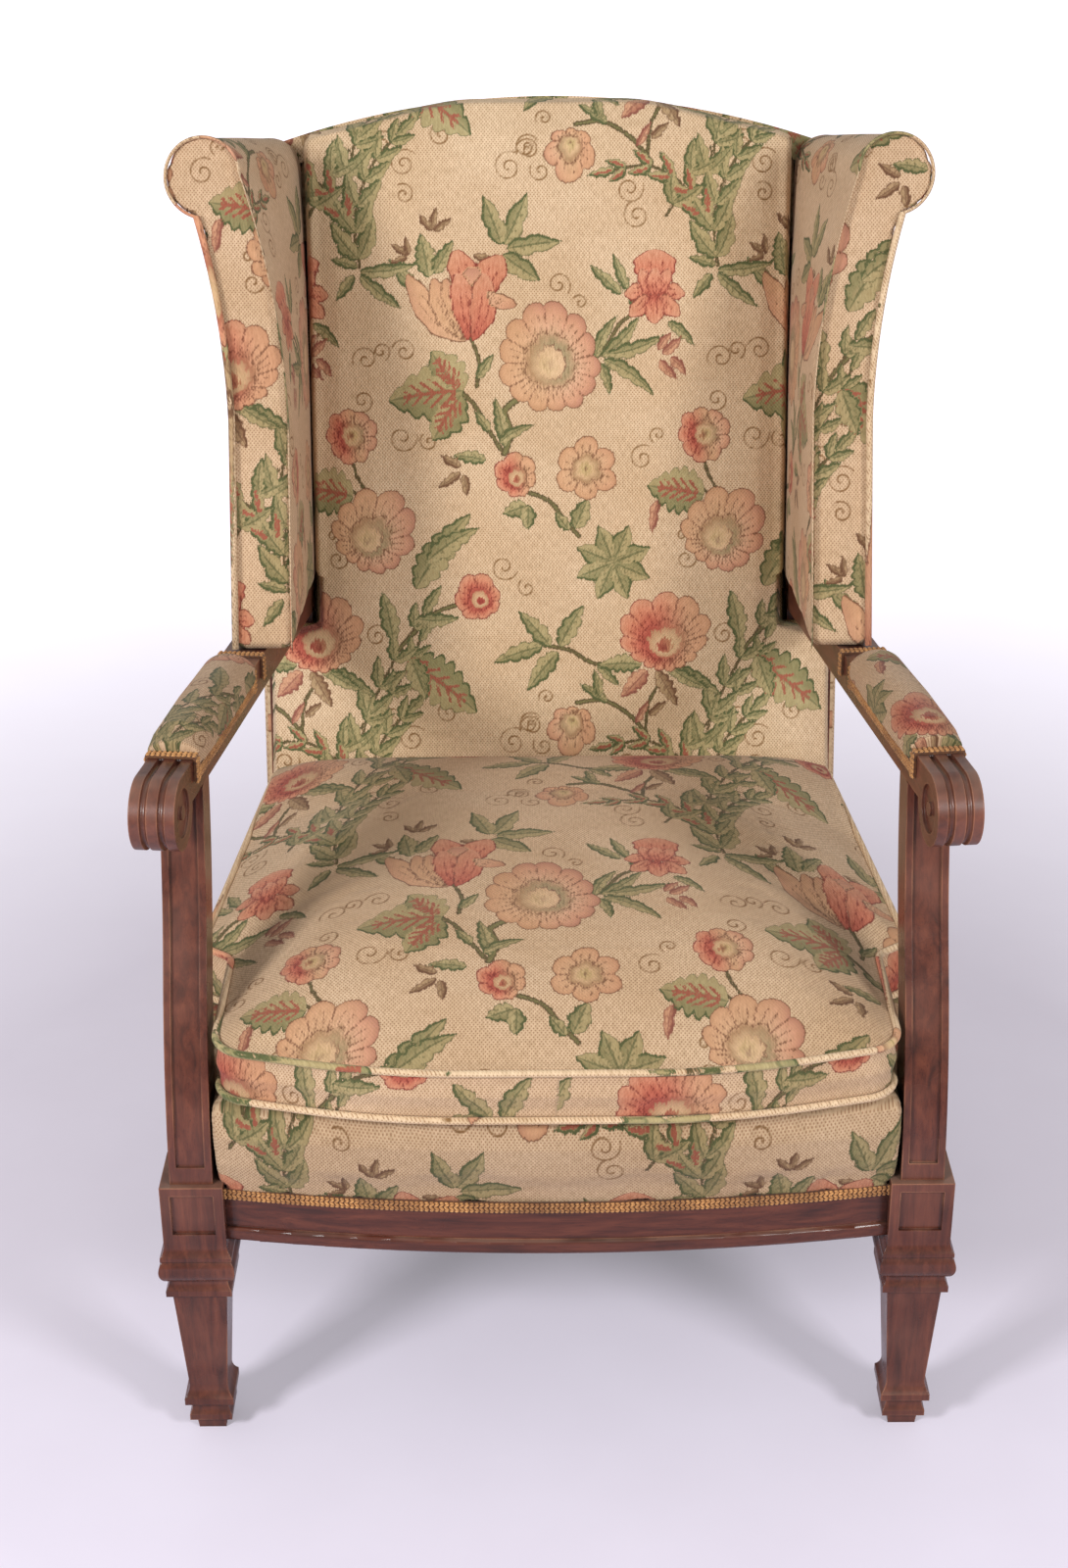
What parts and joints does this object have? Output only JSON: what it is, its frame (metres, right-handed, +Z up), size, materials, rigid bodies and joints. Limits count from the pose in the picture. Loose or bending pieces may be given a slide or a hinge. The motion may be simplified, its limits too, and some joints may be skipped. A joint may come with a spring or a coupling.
{
  "type": "wing armchair",
  "caption": "Open-arm wing armchair: dark carved wood frame, raked upholstered back with rolled wings, padded arms and a loose corded seat cushion in floral tapestry.",
  "frame": {"origin": "on the floor, under the middle of the chair's box", "axes": "+Z up, the sitter faces -Y, +X to the right seen from the front"},
  "size_m": [0.7293, 0.8445, 1.0887],
  "materials": {
    "show_wood": "polished dark mahogany stain",
    "frame_wood": "bare beech",
    "tapestry": "woven floral tapestry",
    "piping": "corded tapestry",
    "gimp_braid": "golden brown braid",
    "jute": "coarse jute",
    "stuffing": "calico over fibre",
    "dust_cloth": "black cotton",
    "spring_steel": "coppered steel"
  },
  "bodies": {
    "chair": {"arm_gimp_left": "gimp_braid", "arm_gimp_right": "gimp_braid", "arm_left": "show_wood", "arm_pad_left": "tapestry", "arm_pad_right": "tapestry", "arm_post_left": "show_wood", "arm_post_right": "show_wood", "arm_right": "show_wood", "back_hessian": "jute", "back_piping_left": "piping", "back_piping_right": "piping", "back_seat_rail": "frame_wood", "back_side_cover_left": "tapestry", "back_side_cover_right": "tapestry", "back_webbing": "jute", "corner_blocks": "frame_wood", "crest_pad": "tapestry", "crest_rail": "frame_wood", "dust_cover": "dust_cloth", "front_leg_left": "show_wood", "front_leg_right": "show_wood", "front_seat_rail": "show_wood", "inside_back": "tapestry", "lower_back_rail": "frame_wood", "outside_back": "tapestry", "rear_post_left": "show_wood", "rear_post_right": "show_wood", "seat_front_border": "tapestry", "seat_gimp": "gimp_braid", "seat_hessian": "jute", "seat_side_border_left": "tapestry", "seat_side_border_right": "tapestry", "seat_springs": "spring_steel", "seat_stuffing": "stuffing", "seat_webbing": "jute", "side_seat_rail_left": "show_wood", "side_seat_rail_right": "show_wood", "wing_gimp_left": "gimp_braid", "wing_gimp_right": "gimp_braid", "wing_left": "tapestry", "wing_piping_left": "piping", "wing_piping_right": "piping", "wing_right": "tapestry", "wing_top_rail_left": "frame_wood", "wing_top_rail_right": "frame_wood", "wing_upright_left": "frame_wood", "wing_upright_right": "frame_wood"},
    "cushion": {"seat_cushion": "tapestry", "cushion_piping_top": "piping", "cushion_piping_bottom": "piping"}
  },
  "joints": [
    {"name": "cushion_lift", "type": "slide", "parent": "chair", "child": "cushion", "axis": [0, 0, 1], "range_m": [0, 0.12]}
  ]
}
